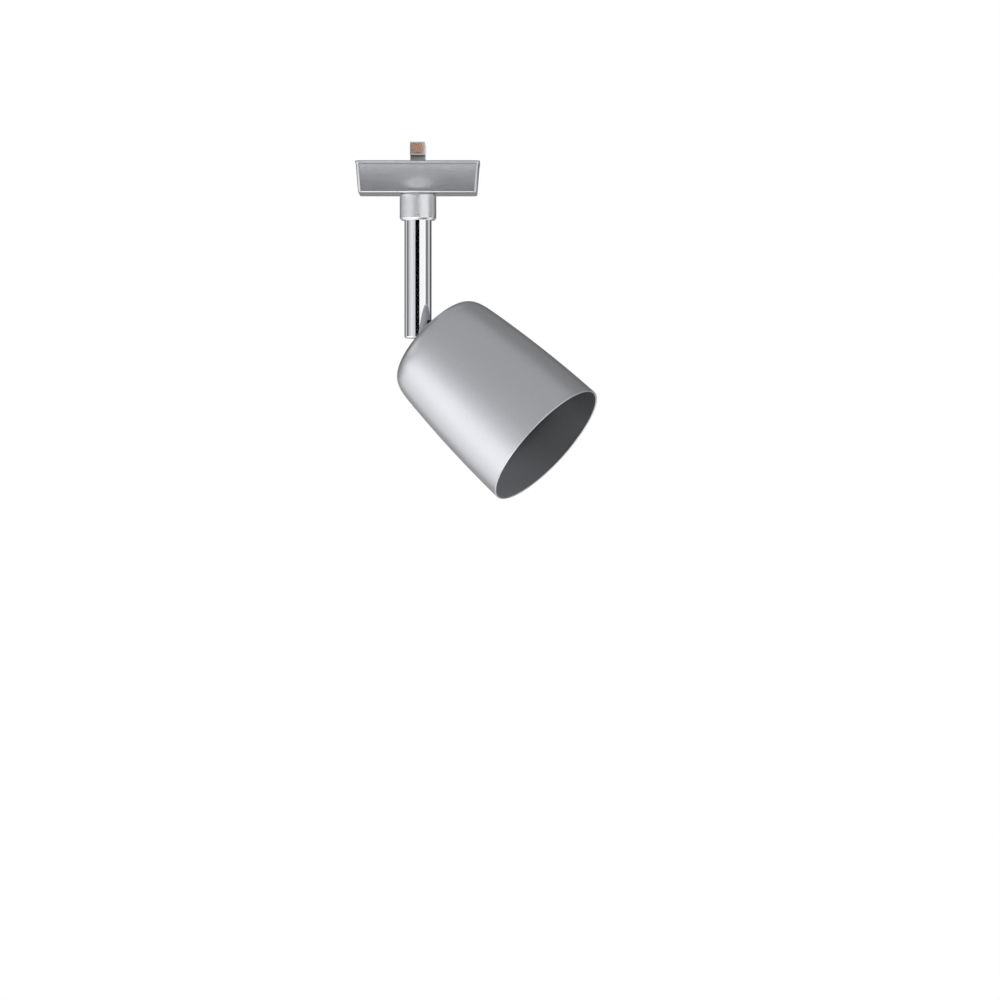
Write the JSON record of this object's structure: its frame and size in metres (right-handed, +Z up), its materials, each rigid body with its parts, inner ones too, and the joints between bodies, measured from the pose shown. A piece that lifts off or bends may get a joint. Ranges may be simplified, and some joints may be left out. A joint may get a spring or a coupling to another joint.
{
  "type": "track spotlight",
  "caption": "Spotlight for a lighting track: twist-in adapter, swivelling chrome stem and a tilting bell-shaped shade around a bayonet lamp.",
  "frame": {"origin": "on the stem's swivel axis, in the plane of the cover's rim that seats against the rail's underside", "axes": "+X along the rail, +Z up into the rail, -Y towards the side the head leans to at rest"},
  "size_m": [0.1257, 0.087, 0.186],
  "materials": {
    "silver_paint": "satin silver paint on a moulded housing",
    "foot_grey": "moulded, fine matt",
    "plate_grey": "moulded, fine matt",
    "copper": "bright rolled copper strip",
    "brass": "turned and pressed brass",
    "steel": "zinc-plated steel",
    "block_white": "moulded",
    "collar_silver": "satin, finely knurled",
    "chrome": "polished chrome plate",
    "bearing_white": "smooth low-friction plastic",
    "sleeve_grey": "woven glass-fibre sleeve",
    "core_brown": "insulated core",
    "core_blue": "insulated core",
    "core_green": "insulated core, yellow and green",
    "cast_silver": "die-cast, satin silver",
    "shade_silver": "drawn sheet with a satin silver finish",
    "ceramic_white": "unglazed steatite",
    "lamp_white": "smooth moulded",
    "board_green": "circuit board",
    "board_white": "white circuit board",
    "phosphor": "phosphor gel",
    "lens_clear": "clear moulded lens"
  },
  "bodies": {
    "adapter": {"adapter_cover": "silver_paint", "base_plate": "plate_grey", "track_foot": "foot_grey", "live_contact": "copper", "neutral_contact": "copper", "earth_contact": "copper", "plate_screws": "steel", "terminal_block": "block_white", "terminal_clamps": "brass", "terminal_screws": "steel", "swivel_nipple": "steel", "lock_washer": "steel", "nipple_nut": "steel", "stop_pin": "steel", "spring_washer": "steel", "swivel_collar": "collar_silver", "glide_ring": "bearing_white", "adapter_cable": "sleeve_grey", "adapter_live_core": "core_brown", "adapter_neutral_core": "core_blue", "adapter_earth_core": "core_green"},
    "stem": {"stem_tube": "chrome", "stem_bush": "brass", "end_insert": "cast_silver", "pivot_pins": "steel", "friction_washers": "steel", "stem_cable": "sleeve_grey"},
    "head": {"tilt_knuckle": "cast_silver", "shade": "shade_silver", "shade_screws": "steel", "lamp_bracket": "steel", "lampholder": "ceramic_white", "holder_contacts": "brass", "holder_screws": "steel", "earth_screw": "steel", "earth_tag": "brass", "head_cable": "sleeve_grey", "head_live_core": "core_brown", "head_neutral_core": "core_blue", "head_earth_core": "core_green"},
    "lamp": {"lamp_base": "lamp_white", "lamp_pins": "steel", "lamp_housing": "lamp_white", "driver_board": "board_green", "led_board": "board_white", "led_chip": "phosphor", "lamp_lens": "lens_clear", "front_ring": "lamp_white"}
  },
  "joints": [
    {"name": "swivel", "type": "hinge", "parent": "adapter", "child": "stem", "pos_m": [0, 0, -0.0302], "axis": [0, 0, 1], "range_deg": [-142.65, 187.35]},
    {"name": "tilt", "type": "hinge", "parent": "stem", "child": "head", "pos_m": [0, 0, -0.0854], "axis": [-0.3803, -0.9249, 0], "range_deg": [-49.05, 40.95]},
    {"name": "lamp_twist", "type": "hinge", "parent": "head", "child": "lamp", "pos_m": [0.02068, -0.0085, -0.1048], "axis": [0.6985, -0.2872, -0.6554], "range_deg": [0, 18]}
  ]
}
